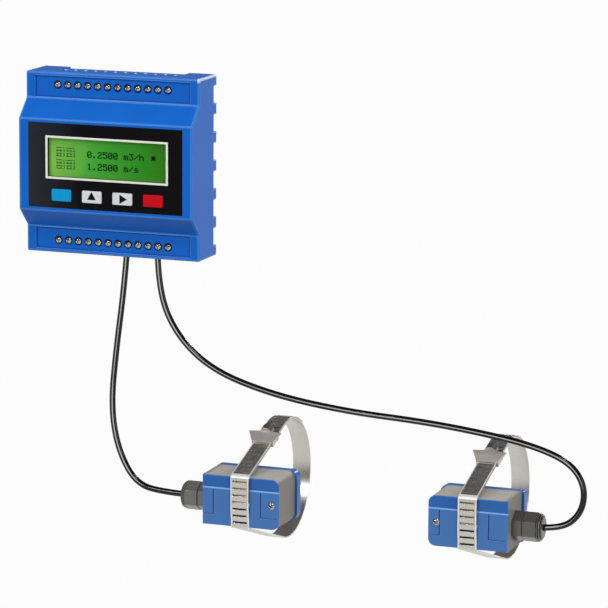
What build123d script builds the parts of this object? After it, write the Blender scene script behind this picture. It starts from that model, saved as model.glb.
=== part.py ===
from build123d import *
import os
from math import acos, atan2, cos, degrees, hypot, pi, radians, sin, tan

# A two-channel ultrasonic flow meter: a display unit that clips on a 35 mm
# rail, and two clamp-on transducers that perforated worm-drive bands hold on a
# pipe. Millimetres. +X right, +Y back, +Z up. The origin is the centre of the
# plane that seats on the rail.

# Display unit case
unit_width = 88.0
unit_height = 86.0
shelf_depth = 21.5
face_depth = 30.5
face_height = 43.5
shelf_height = 12.5
case_wall = 2.0
case_edge_round = 0.8
fit_gap = 0.1

# Air notches in the rear edge of both side walls
notch_count = 6
notch_pitch = 13.5
notch_height = 8.3
notch_depth = 3.4

# Terminal rows
pole_count = 12
pole_pitch = 5.08
pole_screw_inset = 6.0
pole_hole_radius = 1.75
pole_head_radius = 1.5
pole_head_length = 2.2
pole_head_slot = 0.5
pole_head_slot_depth = 0.8
pole_shank_radius = 1.0
pole_thread_gap = 0.06
pole_head_sink = 0.25
panel_inset = 5.0
panel_edge = 2.0
panel_sink = 0.6
entry_depth = 9.0
entry_width = 3.8
entry_length = 4.2
entry_bay_sink = 0.8
entry_bay_depth = 13.0
cage_wall = 0.4
cage_nut = 1.2
cage_height = 5.4
cage_window = 3.4
block_skin = 0.6

# Face: overlay, display window, keys
overlay_inset = 5.1
overlay_height = 40.0
overlay_thick = 0.6
overlay_proud = 0.12
display_center_x = 0.9
display_center_z = 3.9
frame_width = 62.0
frame_height = 20.4
frame_line = 1.0
frame_proud = 0.45
window_thick = 1.2
lcd_height = 23.0
lcd_thick = 2.5
key_width = 9.9
key_height = 5.7
key_pitch = 15.5
key_center_x = 1.2
key_center_z = -13.9
key_proud = 0.7
key_gap = 0.2
key_flange = 0.8
key_flange_thick = 0.7
key_travel = 0.5
key_round = 0.6

# Boards
board_thick = 1.4
display_board_inset = 3.0
display_post_gap = 0.8
display_board_height = 38.0
display_board_gap = 0.1
post_radius = 2.2
post_inset = 3.0
board_screw_radius = 0.9
board_screw_head_radius = 1.7
board_screw_head_height = 1.2
board_screw_length = 5.0
board_seat = 0.4
board_seat_inset = 9.0
board_seat_z = 20.0
board_blocks = [
    (-20.0, 0.0, 12.0, 12.0, 1.6),
    (21.0, -0.5, 10.0, 15.0, 8.0),
    (-26.0, 18.0, 8.0, 8.0, 6.0),
]
board_cans = [
    (-26.0, -19.0, 3.2, 9.0),
    (-17.0, -19.0, 3.2, 9.0),
]
header_pins = 10
header_pitch = 2.54
header_pin = 0.64
header_base_height = 3.0
header_socket_height = 4.0
header_pin_overlap = 1.0
switch_size = 4.5
switch_button_radius = 1.1
switch_body_height = 0.95

# Back plate, rail hooks and latch
back_plate_thick = 1.4
boss_radius = 3.0
boss_inset = 5.7
case_screw_radius = 1.25
case_screw_length = 9.0
case_screw_head_radius = 2.3
case_screw_head_height = 1.1
case_screw_slot = 0.6
case_screw_slot_reach = 1.6
case_screw_slot_depth = 0.6
rail_height = 35.0
rail_lip_thick = 1.0
rail_gap = 0.15
hook_width = 9.0
hook_spread = 27.0
hook_thick = 2.8
hook_lip = 2.0
hook_lip_thick = 2.4
pad_size = 8.0
pad_height = 3.0
latch_width = 12.0
latch_thick = 2.1
latch_gap = 0.1
latch_travel = 4.5
latch_guide = 2.0
latch_guide_lip = 1.5
latch_guide_lip_thick = 0.8
latch_guide_length = 12.0
latch_guide_room = 0.5
latch_foot_inset = 0.4
latch_slot_foot = 2.5
latch_spring_drop = 5.0
latch_slot_width = 6.0
latch_slot_height = 1.4
spring_window_width = 2.8
spring_length = 9.0
spring_radius = 0.75
spring_wire = 0.32
spring_turns = 7
spring_stop = 1.6

# Pipe that the transducers are made for, and where its axis lies
pipe_radius = 28.5
pipe_axis_y = 30.0
pipe_axis_z = -155.5
transducer_spacing = 112.0
left_transducer_x = 66.5

# Transducer
head_length = 38.5
head_height = 24.0
head_depth = 27.0
head_corner = 3.6
plate_thick = 1.0
plate_step = 0.35
plate_step_drop = 6.0
plate_edge_round = 0.6
plate_groove = 0.7
plate_groove_depth = 0.4
plate_groove_left = -13.7
plate_groove_right = 10.1
plate_groove_end = 5.2
rim_depth = 5.0
rim_reach = 1.2
rim_corner = 1.2
rim_edge_round = 0.5
head_wall_x = 5.2
head_wall_z = 2.6
head_wall_front = 2.0
wedge_gap = 0.1
wedge_foot = 5.5
wedge_height = 17.5
wedge_low_x = -10.0
wedge_high_x = 4.0
wedge_shoulder = 4.0
element_radius = 5.5
element_thick = 1.0
backing_thick = 4.0
cover_screw_x = 15.4
cover_screw_z = -0.6
cover_screw_head_radius = 1.65
cover_screw_head_height = 0.7
cover_screw_radius = 1.1
cover_screw_length = 7.0
cover_screw_slot = 0.45

# Cable gland
gland_across = 12.2
gland_base_length = 5.0
gland_nut_length = 9.0
gland_back = 11.5
gland_drop = 1.5
gland_thread_radius = 4.0
gland_neck_radius = 4.6
gland_neck_length = 5.0
gland_bore_radius = 1.8
gland_gap = 0.12
seal_length = 1.8
seal_radius = 3.6
nut_dome = 3.2
nut_ring_count = 3
nut_ring_pitch = 0.9
nut_ring_width = 0.35
nut_ring_depth = 0.3

# Cables
cable_diameter = 3.0
seal_bore_gap = 0.05

# Perforated band clamp
band_width = 9.0
band_thick = 0.6
band_layer_gap = 0.15
band_corner = plate_edge_round
band_inner_start = -1.4
band_tail_angle = 55.0
band_jog_low = -9.0
band_jog_high = -3.0
band_jog_round = 4.0
slot_width = 7.0
slot_height = 0.9
slot_pitch = 3.3
slot_first_height = 0.3
slot_side_count = 3
slot_run_start = 2.2

# Worm housing on the straight run above the transducer
housing_start = 30.3
housing_wall = 0.7
housing_side_gap = 0.12
housing_base_thick = 0.5
housing_base_length = 8.0
hood_length = 5.2
hood_width = 16.4
hood_rise = 2.6
hood_top_width = 8.6
hood_wing_fall = 0.1
arch_length = 4.4
worm_radius = 2.05
worm_root_radius = 1.6
worm_rings = 4
worm_gap = 0.12
worm_strap_gap = 0.25
worm_end_gap = 0.1
worm_stop = 0.3
worm_window_edge = 0.6
worm_head_across = 3.7
worm_head_length = 3.0
worm_head_slot = 0.6
worm_head_slot_depth = 1.0

half_width = unit_width / 2
half_height = unit_height / 2
panel_width = unit_width - 2 * panel_inset
overlay_width = unit_width - 2 * overlay_inset
display_board_width = unit_width - 2 * (case_wall + display_board_inset)
lcd_width = display_board_width - 2 * (post_inset + post_radius + display_post_gap)
face_edge = face_height / 2
shelf_edge = half_height - shelf_height


def span(x0, x1, y0, y1, z0, z1):
    """A block given by its limits."""
    center = ((x0 + x1) / 2, (y0 + y1) / 2, (z0 + z1) / 2)
    return Pos(*center) * Box(abs(x1 - x0), abs(y1 - y0), abs(z1 - z0))


def rod_y(x, z, y0, y1, radius):
    """A round rod along Y."""
    return Pos(x, (y0 + y1) / 2, z) * Rot(90, 0, 0) * Cylinder(radius, abs(y1 - y0))


def rod_x(x0, x1, radius):
    """A round rod along X, on the X axis."""
    return Pos((x0 + x1) / 2, 0, 0) * Rot(0, 90, 0) * Cylinder(radius, abs(x1 - x0))


def save(name, *pieces):
    """Write one node, as one solid or as a group of separate solids."""
    solids = [solid for piece in pieces for solid in piece.solids()]
    shape = solids[0] if len(solids) == 1 else Compound(children=solids)
    export_step(shape, f"parts/{name}.step")


def cut_all(body, tools):
    """Take a list of tools out of a body in one cut."""
    return body - list(tools)


# Display unit

pole_x = [(i - (pole_count - 1) / 2) * pole_pitch for i in range(pole_count)]
pole_z = half_height - pole_screw_inset
key_x = [key_center_x + (i - 1.5) * key_pitch for i in range(4)]
back_plate_front = -notch_depth - back_plate_thick
main_board_back = back_plate_front - board_seat
main_board_front = main_board_back - board_thick
face_inside = -face_depth + case_wall
shelf_inside = -shelf_depth + case_wall
post_length = lcd_thick + 2 * display_board_gap
display_board_front = face_inside + post_length
display_board_back = display_board_front + board_thick
post_x = display_board_width / 2 - post_inset
post_z = display_board_height / 2 - post_inset
board_seat_x = half_width - board_seat_inset
boss_x = half_width - boss_inset
boss_z = half_height - boss_inset
block_half = pole_count * pole_pitch / 2


def case_profile():
    """Side outline of the case, in the YZ plane."""
    points = [
        (0, -half_height),
        (-shelf_depth, -half_height),
        (-shelf_depth, -shelf_edge),
        (-face_depth, -face_edge),
        (-face_depth, face_edge),
        (-shelf_depth, shelf_edge),
        (-shelf_depth, half_height),
        (0, half_height),
    ]
    return make_face(Polyline(*points, close=True))


def case_shell():
    """Stepped moulded case, open at the back."""
    profile = case_profile()
    outer = extrude(Plane.YZ * profile, amount=half_width, both=True)
    outer_edges = [edge for edge in outer.edges() if edge.center().Y < -0.1]
    outer = fillet(outer_edges, case_edge_round)
    inner_profile = offset(profile, amount=-case_wall, kind=Kind.INTERSECTION)
    inner = extrude(Plane.YZ * inner_profile, amount=half_width - case_wall, both=True)
    inside_z = half_height - case_wall
    inside_x = half_width - case_wall
    mouth = span(-inside_x, inside_x, -case_wall * 2, 1, -inside_z, inside_z)
    return outer - inner - mouth


def air_notches():
    """Notches through both side walls, from the rear edge."""
    tools = []
    for i in range(notch_count):
        z = (i - (notch_count - 1) / 2) * notch_pitch
        tools.append(span(-half_width - 1, half_width + 1, -notch_depth, 1,
                          z - notch_height / 2, z + notch_height / 2))
    return tools


def terminal_cuts():
    """Sunk panels, screw holes and wire entries of both terminal rows."""
    tools = []
    for side in (1, -1):
        panel_low = side * (shelf_edge + case_edge_round)
        panel_high = side * (half_height - panel_edge)
        tools.append(span(-panel_width / 2, panel_width / 2, -shelf_depth - 1,
                          -shelf_depth + panel_sink, panel_low, panel_high))
        tools.append(span(-block_half, block_half, -entry_bay_depth, 1,
                          side * (half_height - entry_bay_sink), side * (half_height + 1)))
        for x in pole_x:
            tools.append(rod_y(x, side * pole_z, -shelf_depth - 1, shelf_inside + 1,
                               pole_hole_radius))
            tools.append(span(x - entry_width / 2, x + entry_width / 2,
                              -entry_depth - entry_length / 2, -entry_depth + entry_length / 2,
                              side * (half_height - case_wall - 1), side * (half_height + 1)))
    return tools


def face_cuts():
    """Overlay recess, display window and key holes."""
    recess = span(-overlay_width / 2 - fit_gap, overlay_width / 2 + fit_gap,
                  -face_depth - 1, -face_depth + overlay_thick - overlay_proud,
                  -overlay_height / 2 - fit_gap, overlay_height / 2 + fit_gap)
    window = span(display_center_x - frame_width / 2 - fit_gap,
                  display_center_x + frame_width / 2 + fit_gap,
                  -face_depth - 1, face_inside + 1,
                  display_center_z - frame_height / 2 - fit_gap,
                  display_center_z + frame_height / 2 + fit_gap)
    tools = [recess, window]
    for x in key_x:
        tools.append(span(x - key_width / 2 - key_gap, x + key_width / 2 + key_gap,
                          -face_depth - 1, face_inside + 1,
                          key_center_z - key_height / 2 - key_gap,
                          key_center_z + key_height / 2 + key_gap))
    return tools


def front_housing():
    """The case with its bosses, posts and openings."""
    body = case_shell()
    for x in (-boss_x, boss_x):
        for z in (-boss_z, boss_z):
            body += rod_y(x, z, shelf_inside - 0.5, back_plate_front, boss_radius)
    for x in (-post_x, post_x):
        for z in (-post_z, post_z):
            body += rod_y(x, z, face_inside - 0.5, display_board_front, post_radius)
    tools = air_notches() + terminal_cuts() + face_cuts()
    for x in (-boss_x, boss_x):
        for z in (-boss_z, boss_z):
            tools.append(rod_y(x, z, back_plate_front - case_screw_length, 1,
                               case_screw_radius + pole_thread_gap))
    for x in (-post_x, post_x):
        for z in (-post_z, post_z):
            tools.append(rod_y(x, z, display_board_front - board_screw_length + board_thick,
                               display_board_front + 1, board_screw_radius + pole_thread_gap))
    gate = latch_width / 2 + latch_gap * 3
    tools.append(span(-gate, gate, -notch_depth, 1, -half_height - 1,
                      -half_height + case_wall + 1))
    return cut_all(body, tools)


def back_plate():
    """Plate that closes the case, with rail hooks, seat pads and latch guide."""
    inside_x = half_width - case_wall - fit_gap
    inside_z = half_height - case_wall - fit_gap
    plate = span(-inside_x, inside_x, back_plate_front, -notch_depth, -inside_z, inside_z)
    rail_edge = rail_height / 2
    lip_front = rail_lip_thick + rail_gap
    lip_back = lip_front + hook_lip_thick
    for x in (-hook_spread / 2, hook_spread / 2):
        x0 = x - hook_width / 2
        x1 = x + hook_width / 2
        plate += span(x0, x1, -notch_depth, lip_back, rail_edge + fit_gap,
                      rail_edge + fit_gap + hook_thick)
        plate += span(x0, x1, lip_front, lip_back, rail_edge - hook_lip,
                      rail_edge + fit_gap)
        for z in (-rail_edge + pad_height, rail_edge - pad_height):
            plate += span(x - pad_size / 2, x + pad_size / 2, -notch_depth, 0,
                          z - pad_height / 2, z + pad_height / 2)
    guide_top = latch_top - latch_shoulder - latch_travel - latch_guide_room
    guide_bottom = guide_top - latch_guide_length
    for side in (1, -1):
        wall_in = side * (latch_width / 2 + latch_gap)
        wall_out = wall_in + side * latch_guide
        lip_in = wall_in - side * latch_guide_lip
        lip_y = latch_back + latch_gap
        plate += span(wall_in, wall_out, -notch_depth, lip_y + latch_guide_lip_thick,
                      guide_bottom, guide_top)
        plate += span(lip_in, wall_out, lip_y, lip_y + latch_guide_lip_thick,
                      guide_bottom, guide_top)
    peg_x = spring_window_width / 2 - latch_gap * 2
    plate += span(-peg_x, peg_x, -notch_depth, latch_back - latch_gap * 2,
                  spring_foot - spring_stop, spring_foot)
    for x in (-board_seat_x, board_seat_x):
        for z in (-board_seat_z, board_seat_z):
            plate += rod_y(x, z, back_plate_front, main_board_back, post_radius)
    for x in (-boss_x, boss_x):
        for z in (-boss_z, boss_z):
            plate -= rod_y(x, z, back_plate_front - 1, 1, case_screw_radius + fit_gap)
            plate -= rod_y(x, z, -notch_depth - case_screw_head_height, 1,
                           case_screw_head_radius + fit_gap)
    return plate


latch_front = -notch_depth + latch_gap
latch_back = latch_front + latch_thick
latch_top = -rail_height / 2 - fit_gap
latch_shoulder = hook_thick
latch_bottom = -half_height + latch_foot_inset
spring_top = latch_top - latch_shoulder - latch_spring_drop
spring_foot = spring_top - spring_length
spring_y = (latch_front + latch_back) / 2


def rail_latch():
    """Sliding foot latch with a spring window and a screwdriver slot."""
    lip_front = rail_lip_thick + rail_gap
    lip_back = lip_front + hook_lip_thick
    body = span(-latch_width / 2, latch_width / 2, latch_front, latch_back,
                latch_bottom, latch_top)
    body += span(-latch_width / 2, latch_width / 2, latch_front, lip_back,
                 latch_top - latch_shoulder, latch_top)
    nose_points = [
        (lip_front, latch_top - 0.1),
        (lip_back, latch_top - 0.1),
        (lip_back, latch_top + hook_lip / 2),
        (lip_front, latch_top + hook_lip),
    ]
    nose = make_face(Polyline(*nose_points, close=True))
    body += extrude(Plane.YZ * nose, amount=latch_width / 2, both=True)
    body -= span(-spring_window_width / 2, spring_window_width / 2, -notch_depth - 1,
                 latch_back + 1, spring_foot - spring_stop - latch_gap * 2, spring_top)
    slot_z = latch_bottom + latch_slot_foot
    body -= span(-latch_slot_width / 2, latch_slot_width / 2, -notch_depth - 1, latch_back + 1,
                 slot_z - latch_slot_height / 2, slot_z + latch_slot_height / 2)
    return body


def latch_spring():
    """Coil spring that pushes the latch up."""
    free = spring_length - 2 * fit_gap - spring_wire
    path = Helix(pitch=free / spring_turns, height=free, radius=spring_radius)
    start = path @ 0
    section = Plane(origin=start, z_dir=path % 0) * Circle(spring_wire / 2)
    coil = sweep(section, path=path)
    return Pos(0, spring_y, spring_foot + fit_gap + spring_wire / 2) * coil


def faceplate():
    """Dark overlay sheet with display and key openings."""
    front = -face_depth - overlay_proud
    sheet = span(-overlay_width / 2, overlay_width / 2, front, front + overlay_thick,
                 -overlay_height / 2, overlay_height / 2)
    tools = [span(display_center_x - frame_width / 2 - fit_gap,
                  display_center_x + frame_width / 2 + fit_gap, front - 1, 0,
                  display_center_z - frame_height / 2 - fit_gap,
                  display_center_z + frame_height / 2 + fit_gap)]
    for x in key_x:
        tools.append(span(x - key_width / 2 - key_gap, x + key_width / 2 + key_gap,
                          front - 1, 0,
                          key_center_z - key_height / 2 - key_gap,
                          key_center_z + key_height / 2 + key_gap))
    return cut_all(sheet, tools)


def ring_block(width, height, line, y0, y1):
    """Rectangular ring round the display centre."""
    x = display_center_x
    z = display_center_z
    outer = span(x - width / 2, x + width / 2, y0, y1, z - height / 2, z + height / 2)
    inner = span(x - width / 2 + line, x + width / 2 - line, y0 - 1, y1 + 1,
                 z - height / 2 + line, z + height / 2 - line)
    return outer - inner


def display_frame():
    """White bezel round the display."""
    ring = ring_block(frame_width, frame_height, frame_line, -face_depth - frame_proud,
                      face_inside)
    edges = ring.edges().group_by(Axis.Y)[0]
    return fillet(edges, frame_line * 0.15)


def display_window():
    """Clear pane inside the bezel."""
    half_x = frame_width / 2 - frame_line - fit_gap
    half_z = frame_height / 2 - frame_line - fit_gap
    return span(display_center_x - half_x, display_center_x + half_x,
                face_inside - window_thick, face_inside,
                display_center_z - half_z, display_center_z + half_z)


def lcd_panel():
    """Display module behind the pane, on the display board."""
    return span(display_center_x - lcd_width / 2, display_center_x + lcd_width / 2,
                face_inside + display_board_gap, display_board_front - display_board_gap,
                display_center_z - lcd_height / 2, display_center_z + lcd_height / 2)


def display_board():
    """Circuit board behind the face, on four posts."""
    board = span(-display_board_width / 2, display_board_width / 2, display_board_front,
                 display_board_back, -display_board_height / 2, display_board_height / 2)
    holes = [rod_y(x, z, display_board_front - 1, display_board_back + 1,
                   board_screw_radius + fit_gap)
             for x in (-post_x, post_x) for z in (-post_z, post_z)]
    return cut_all(board, holes)


def display_board_screws():
    """Four small screws that hold the display board."""
    screws = []
    for x in (-post_x, post_x):
        for z in (-post_z, post_z):
            head = rod_y(x, z, display_board_back,
                         display_board_back + board_screw_head_height,
                         board_screw_head_radius)
            shank = rod_y(x, z, display_board_back - board_screw_length + 2 * board_thick,
                          display_board_back, board_screw_radius)
            screws.append(head + shank)
    return screws


def key_cap(x):
    """Key with a retaining flange behind the face wall."""
    front = -face_depth - key_proud
    cap = span(x - key_width / 2, x + key_width / 2, front, face_inside + fit_gap,
               key_center_z - key_height / 2, key_center_z + key_height / 2)
    cap = fillet(cap.edges().filter_by(Axis.Y), key_round)
    cap = fillet(cap.edges().group_by(Axis.Y)[0], key_round / 2)
    flange_x = key_width / 2 + key_flange
    flange_z = key_height / 2 + key_flange
    flange_y = face_inside + fit_gap
    return cap + span(x - flange_x, x + flange_x, flange_y, flange_y + key_flange_thick,
                      key_center_z - flange_z, key_center_z + flange_z)


def key_switches():
    """Tact switches on the display board, one behind each key."""
    switches = []
    for x in key_x:
        body = span(x - switch_size / 2, x + switch_size / 2,
                    display_board_front - switch_body_height, display_board_front,
                    key_center_z - switch_size / 2, key_center_z + switch_size / 2)
        key_back = face_inside + fit_gap + key_flange_thick
        button = rod_y(x, key_center_z, key_back + key_travel + fit_gap,
                       display_board_front, switch_button_radius)
        switches.append(body + button)
    return switches


def main_board():
    """Circuit board on the back plate, under both terminal rows."""
    edge_x = half_width - case_wall - 1.0
    edge_z = half_height - case_wall - 1.0
    board = span(-edge_x, edge_x, main_board_front, main_board_back, -edge_z, edge_z)
    corners = []
    for x in (-1, 1):
        for z in (-1, 1):
            corners.append(span(x * (boss_x - boss_radius - 2 * fit_gap), x * half_width,
                                main_board_front - 1, main_board_back + 1,
                                z * (boss_z - boss_radius - 2 * fit_gap), z * half_height))
    return cut_all(board, corners)


def board_parts():
    """Larger components of the main board."""
    blocks = []
    for x, z, width, height, rise in board_blocks:
        blocks.append(span(x - width / 2, x + width / 2, main_board_front - rise,
                           main_board_front, z - height / 2, z + height / 2))
    for x, z, radius, rise in board_cans:
        blocks.append(rod_y(x, z, main_board_front - rise, main_board_front, radius))
    return blocks


def board_header():
    """Pin header that joins the two boards."""
    row = header_pins * header_pitch / 2
    base = span(-row, row, main_board_front - header_base_height, main_board_front,
                -header_pitch / 2, header_pitch / 2)
    socket_end = display_board_back + header_socket_height
    socket = span(-row, row, display_board_back, socket_end,
                  -header_pitch / 2, header_pitch / 2)
    pins = []
    for i in range(header_pins):
        x = (i - (header_pins - 1) / 2) * header_pitch
        pins.append(span(x - header_pin / 2, x + header_pin / 2,
                         socket_end - header_pin_overlap,
                         main_board_front - header_base_height + header_pin_overlap,
                         -header_pin / 2, header_pin / 2))
    return base + socket + pins


cage_back = -entry_depth + cage_window / 2 + cage_wall
cage_front = -entry_depth - cage_window / 2 - cage_nut
cage_low = pole_z - cage_height / 2
cage_high = pole_z + cage_height / 2
cage_half = cage_window / 2 + cage_wall * 0.7
block_back = main_board_front
block_front = shelf_inside + fit_gap
block_low = pole_z - cage_height / 2 - fit_gap - 2 * block_skin
block_high = half_height - case_wall - fit_gap
head_front = -shelf_depth + panel_sink + pole_head_sink
head_back = head_front + pole_head_length


def terminal_block(side):
    """Moulded terminal strip with a pocket, an entry and a screw bore per pole."""
    block = span(-block_half, block_half, block_front, block_back,
                 side * block_low, side * block_high)
    tools = []
    for x in pole_x:
        tools.append(span(x - cage_half - fit_gap, x + cage_half + fit_gap,
                          cage_front - fit_gap, block_back + 1,
                          side * (cage_low - fit_gap), side * (cage_high + fit_gap)))
        tools.append(span(x - cage_window / 2, x + cage_window / 2,
                          -entry_depth - cage_window / 2, -entry_depth + cage_window / 2,
                          side * cage_high, side * (block_high + 1)))
        tools.append(rod_y(x, side * pole_z, block_front - 1, head_back + fit_gap,
                           pole_hole_radius))
        tools.append(rod_y(x, side * pole_z, head_back, cage_front,
                           pole_shank_radius + fit_gap))
    return cut_all(block, tools)


def terminal_cages(side):
    """Rising metal cage in each pocket."""
    cages = []
    for x in pole_x:
        cage = span(x - cage_half, x + cage_half, cage_front, cage_back,
                    side * cage_low, side * cage_high)
        window = span(x - cage_window / 2, x + cage_window / 2,
                      -entry_depth - cage_window / 2, -entry_depth + cage_window / 2,
                      side * (cage_low - 1), side * (cage_high + 1))
        bore = rod_y(x, side * pole_z, cage_front - 1, -entry_depth,
                     pole_shank_radius + pole_thread_gap)
        cages.append(cage - window - bore)
    return cages


def terminal_screws(side):
    """Slotted screw of each pole."""
    screws = []
    for x in pole_x:
        z = side * pole_z
        head = rod_y(x, z, head_front, head_back, pole_head_radius)
        slot = span(x - pole_head_radius - 1, x + pole_head_radius + 1,
                    head_front - 1, head_front + pole_head_slot_depth,
                    z - pole_head_slot / 2, z + pole_head_slot / 2)
        shank = rod_y(x, z, head_back, cage_front + cage_nut, pole_shank_radius)
        screws.append(head + shank - slot)
    return screws


def case_screws():
    """Four screws through the back plate into the case bosses."""
    screws = []
    for x in (-boss_x, boss_x):
        for z in (-boss_z, boss_z):
            head_y = -notch_depth - case_screw_head_height
            head = rod_y(x, z, head_y, -notch_depth, case_screw_head_radius)
            shank = rod_y(x, z, back_plate_front - case_screw_length + 1, head_y,
                          case_screw_radius)
            reach = case_screw_slot_reach
            half = case_screw_slot / 2
            slot_y = -notch_depth - case_screw_slot_depth
            slot = span(x - reach, x + reach, slot_y, 1, z - half, z + half)
            cross = span(x - half, x + half, slot_y, 1, z - reach, z + reach)
            screws.append(head + shank - slot - cross)
    return screws


# Transducer, in its own frame: the centre of the pipe tangent line is the
# origin, +X runs along the pipe and the front faces -Y. "turn" is 1 where the
# cable leaves towards -X and -1 where it leaves towards +X.

front_y = -head_depth
plate_back = front_y + plate_thick
rim_front = -rim_depth
half_head = head_length / 2
half_head_z = head_height / 2


def head_outline(turn, grow=0.0):
    """Rounded outline seen from the front, square at the cable end."""
    sheet = Rectangle(head_length + 2 * grow, head_height + 2 * grow)
    far = sheet.vertices().sort_by(Axis.X)
    corners = far[-2:] if turn > 0 else far[:2]
    return fillet(corners, head_corner + grow)


def head_slab(turn, y0, y1, grow=0.0):
    """The outline extruded from y0 to y1."""
    face = Plane(origin=(0, y0, 0), x_dir=(1, 0, 0), z_dir=(0, 1, 0)) * head_outline(turn, grow)
    return extrude(face, amount=y1 - y0)


def transducer_plate(turn):
    """Front plate with a proud lower panel and moulded grooves."""
    plate = head_slab(turn, front_y, plate_back)
    plate = fillet(plate.edges().group_by(Axis.Y)[0], plate_edge_round)
    step_z = half_head_z - plate_step_drop
    plate -= span(-half_head - 1, half_head + 1, front_y - 1, front_y + plate_step,
                  step_z, half_head_z + 1)
    groove_end = -half_head_z + plate_groove_end
    tools = []
    for x in (plate_groove_left, plate_groove_right):
        tools.append(span(x - plate_groove / 2, x + plate_groove / 2, front_y - 1,
                          front_y + plate_groove_depth, groove_end, step_z - plate_groove))
    tools.append(span(-half_head - 1, plate_groove_left, front_y - 1,
                      front_y + plate_groove_depth / 2, groove_end,
                      groove_end + plate_groove / 2))
    tools.append(span(plate_groove_right, half_head + 1, front_y - 1,
                      front_y + plate_groove_depth / 2, groove_end,
                      groove_end + plate_groove / 2))
    tools.append(rod_y(turn * cover_screw_x, cover_screw_z, front_y - 1, plate_back + 1,
                       cover_screw_radius + fit_gap))
    return cut_all(plate, tools)


def transducer_body(turn):
    """Block between the front plate and the rear rim, hollow for the wedge."""
    body = head_slab(turn, plate_back, rim_front)
    cavity_x = half_head - head_wall_x
    cavity_z = half_head_z - head_wall_z
    body -= span(-cavity_x, cavity_x, plate_back + head_wall_front, rim_front + 1,
                 -cavity_z, cavity_z)
    body -= rod_y(turn * cover_screw_x, cover_screw_z, plate_back - 1,
                  front_y + cover_screw_length + 0.5, cover_screw_radius + pole_thread_gap)
    port = Pos(0, front_y + gland_back, -gland_drop) * rod_x(
        -turn * (half_head + 1), -turn * (cavity_x - 1), gland_thread_radius + gland_gap)
    return body - port


def transducer_rim(turn):
    """Rear rim that stands out at both ends and holds the acoustic wedge."""
    sheet = Rectangle(head_length + 2 * rim_reach, head_height)
    ends = sheet.vertices().sort_by(Axis.X)
    near, far = (ends[:2], ends[-2:]) if turn > 0 else (ends[-2:], ends[:2])
    sheet = fillet(far, head_corner)
    near = [min(sheet.vertices(), key=lambda v: (v.center() - n.center()).length) for n in near]
    sheet = fillet(near, rim_corner)
    plane = Plane(origin=(0, rim_front, 0), x_dir=(1, 0, 0), z_dir=(0, 1, 0))
    rim = extrude(plane * sheet, amount=rim_depth)
    window_x = half_head - head_wall_x
    window_z = half_head_z - head_wall_z
    rim = fillet(rim.edges().group_by(Axis.Y)[-1], rim_edge_round)
    return rim - span(-window_x, window_x, rim_front - 1, 1, -window_z, window_z)


def transducer_wedge(turn):
    """Acoustic wedge whose foot lies on the pipe."""
    foot_x = half_head - head_wall_x - wedge_gap
    foot_z = half_head_z - head_wall_z - wedge_gap
    points = [
        (-foot_x, 0),
        (foot_x, 0),
        (foot_x, -wedge_height + wedge_shoulder),
        (wedge_high_x, -wedge_height),
        (wedge_low_x, -wedge_foot),
        (-foot_x, -wedge_foot),
    ]
    flat = make_face(Polyline(*[(turn * x, y) for x, y in points], close=True))
    return extrude(flat, amount=foot_z, both=True)


def element_plane(turn, lift):
    """Plane on the wedge's sloping face, lifted off it."""
    run_x = wedge_high_x - wedge_low_x
    run_y = -wedge_height + wedge_foot
    length = hypot(run_x, run_y)
    out_x = run_y / length
    out_y = -run_x / length
    mid_x = (wedge_high_x + wedge_low_x) / 2 + out_x * lift
    mid_y = (-wedge_height - wedge_foot) / 2 + out_y * lift
    return Plane(origin=(turn * mid_x, mid_y, 0), x_dir=(0, 0, 1),
                 z_dir=(turn * out_x, out_y, 0))


def transducer_element(turn):
    """Piezo disc on the wedge."""
    return extrude(element_plane(turn, 0) * Circle(element_radius), amount=element_thick)


def transducer_backing(turn):
    """Damping block on the disc."""
    return extrude(element_plane(turn, element_thick) * Circle(element_radius),
                   amount=backing_thick)


def cover_screw(turn):
    """Cross-head screw of the front plate."""
    x = turn * cover_screw_x
    head = rod_y(x, cover_screw_z, front_y - cover_screw_head_height, front_y,
                 cover_screw_head_radius)
    head = fillet(head.edges().group_by(Axis.Y)[0], cover_screw_head_height * 0.45)
    shank = rod_y(x, cover_screw_z, front_y, front_y + cover_screw_length, cover_screw_radius)
    arm = cover_screw_head_radius * 0.6
    half = cover_screw_slot / 2
    depth = front_y - cover_screw_head_height + 0.5
    slot_a = span(x - arm, x + arm, front_y - 2, depth, cover_screw_z - half,
                  cover_screw_z + half)
    slot_b = span(x - half, x + half, front_y - 2, depth, cover_screw_z - arm,
                  cover_screw_z + arm)
    return head + shank - slot_a - slot_b


def gland_place(turn):
    """Frame of the gland: +X points out of the transducer's cable end."""
    spot = Pos(-turn * half_head, front_y + gland_back, -gland_drop)
    return spot * (Rot(0, 0, 180) if turn > 0 else Rot(0, 0, 0))


def hexagon_x(x0, x1, across):
    """Hexagonal bar along X with corners at the top and bottom."""
    plane = Plane(origin=(x0, 0, 0), x_dir=(0, 0, 1), z_dir=(1, 0, 0))
    return extrude(plane * RegularPolygon(across / 2, 6, major_radius=False), amount=x1 - x0)


def gland_body():
    """Hexagonal base with its thread into the transducer and its neck."""
    base = hexagon_x(0, gland_base_length, gland_across)
    base = chamfer(base.edges().group_by(Axis.X)[-1], 0.5)
    thread = rod_x(-(head_wall_x - 0.5), 0, gland_thread_radius)
    neck = rod_x(gland_base_length, gland_base_length + gland_neck_length, gland_neck_radius)
    bore = rod_x(-head_wall_x - 1, gland_base_length + gland_neck_length + 1,
                 gland_bore_radius)
    return base + thread + neck - bore


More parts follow.
